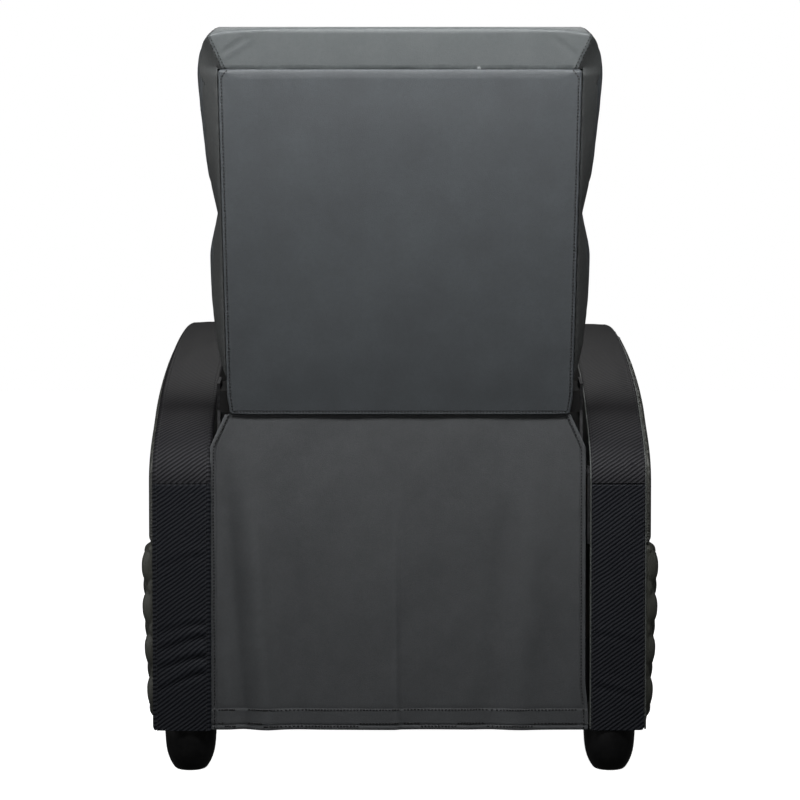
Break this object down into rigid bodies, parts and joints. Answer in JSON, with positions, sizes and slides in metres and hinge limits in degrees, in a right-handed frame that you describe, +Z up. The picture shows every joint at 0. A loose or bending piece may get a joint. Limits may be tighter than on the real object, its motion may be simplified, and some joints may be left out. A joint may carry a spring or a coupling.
{
  "type": "gaming recliner",
  "caption": "Padded push-back recliner armchair with a tall head and lumbar back, quilted sides, rear skirt, sliding seat and folding scissor footrest.",
  "frame": {"origin": "centre of the chair's outer box, on the floor", "axes": "+Z up; the chair faces -Y; its left arm, as a sitter has it, is at +X"},
  "size_m": [0.715, 0.7782, 1.0256],
  "materials": {
    "grey_leather": "soft matt faux leather, mid grey, fine grain",
    "side_leather": "matt faux leather, dark olive grey, stitched in diamonds low on the sides",
    "woven_strip": "near-black twill-look strip with slanting ridges",
    "black_plastic": "moulded, satin black",
    "plywood": "raw sanded plywood",
    "black_steel": "black powder coat",
    "spring_steel": "oiled spring wire"
  },
  "bodies": {
    "base": {"left_arm_board": "plywood", "right_arm_board": "plywood", "left_arm_inner_pad": "side_leather", "right_arm_inner_pad": "side_leather", "left_arm_outer_pad": "side_leather", "right_arm_outer_pad": "side_leather", "left_rear_strip": "woven_strip", "right_rear_strip": "woven_strip", "left_top_strip": "woven_strip", "right_top_strip": "woven_strip", "left_side_quilt": "side_leather", "right_side_quilt": "side_leather", "left_side_plate": "black_steel", "right_side_plate": "black_steel", "left_seat_guide": "black_steel", "right_seat_guide": "black_steel", "rear_left_foot": "black_plastic", "rear_right_foot": "black_plastic", "front_left_foot": "black_plastic", "front_right_foot": "black_plastic", "rear_cross_rail": "plywood", "front_cross_rail": "plywood"},
    "seat": {"left_seat_rail": "plywood", "right_seat_rail": "plywood", "left_seat_runner": "black_steel", "right_seat_runner": "black_steel", "front_seat_rail": "grey_leather", "rear_seat_rail": "plywood", "seat_spring_1": "spring_steel", "seat_spring_2": "spring_steel", "seat_spring_3": "spring_steel", "seat_cushion": "grey_leather"},
    "back": {"rear_panel": "grey_leather", "left_side_band": "grey_leather", "right_side_band": "grey_leather", "left_back_bracket": "black_steel", "right_back_bracket": "black_steel", "left_back_post": "plywood", "right_back_post": "plywood", "back_bottom_rail": "plywood", "back_top_rail": "plywood", "back_spring_1": "spring_steel", "back_spring_2": "spring_steel", "top_band": "grey_leather", "lumbar_cushion": "grey_leather", "head_cushion": "grey_leather"},
    "flap": {"rear_flap": "grey_leather"},
    "lower_links": {"left_lower_link": "black_steel", "right_lower_link": "black_steel", "lower_cross_tube": "black_steel"},
    "upper_links": {"left_upper_link": "black_steel", "right_upper_link": "black_steel", "upper_cross_tube": "black_steel"},
    "tilt_links": {"left_tilt_link": "black_steel", "right_tilt_link": "black_steel"},
    "footrest": {"left_footrest_bracket": "black_steel", "right_footrest_bracket": "black_steel", "footrest_board": "plywood", "footrest_pad": "grey_leather"}
  },
  "joints": [
    {"name": "back_recline", "type": "hinge", "parent": "base", "child": "back", "pos_m": [0, 0.2609, 0.413], "axis": [-1, 0, 0], "range_deg": [0, 45]},
    {"name": "flap_hang", "type": "hinge", "parent": "back", "child": "flap", "pos_m": [0, 0.2839, 0.49162], "axis": [-1, 0, 0], "range_deg": [-45, 0]},
    {"name": "seat_slide", "type": "slide", "parent": "base", "child": "seat", "axis": [0, -1, 0], "range_m": [0, 0.04]},
    {"name": "footrest_extend", "type": "hinge", "parent": "base", "child": "lower_links", "pos_m": [0, -0.2091, 0.35], "axis": [-1, 0, 0], "range_deg": [0, 58]},
    {"name": "link_cross", "type": "hinge", "parent": "lower_links", "child": "upper_links", "pos_m": [0, -0.24686, 0.21831], "axis": [-1, 0, 0], "range_deg": [-116, 0]},
    {"name": "tilt_link_turn", "type": "hinge", "parent": "lower_links", "child": "tilt_links", "pos_m": [0, -0.26109, 0.16871], "axis": [-1, 0, 0], "range_deg": [-116, 0]},
    {"name": "footrest_turn", "type": "hinge", "parent": "upper_links", "child": "footrest", "pos_m": [0, -0.28463, 0.35], "axis": [-1, 0, 0], "range_deg": [0, 142]}
  ],
  "couplings": [
    {"joint": "flap_hang", "follows": "back_recline", "ratio": -1},
    {"joint": "seat_slide", "follows": "back_recline", "m_per_rad": 0.050929},
    {"joint": "link_cross", "follows": "footrest_extend", "ratio": -2},
    {"joint": "tilt_link_turn", "follows": "footrest_extend", "ratio": -2},
    {"joint": "footrest_turn", "follows": "footrest_extend", "ratio": 2.4483}
  ]
}
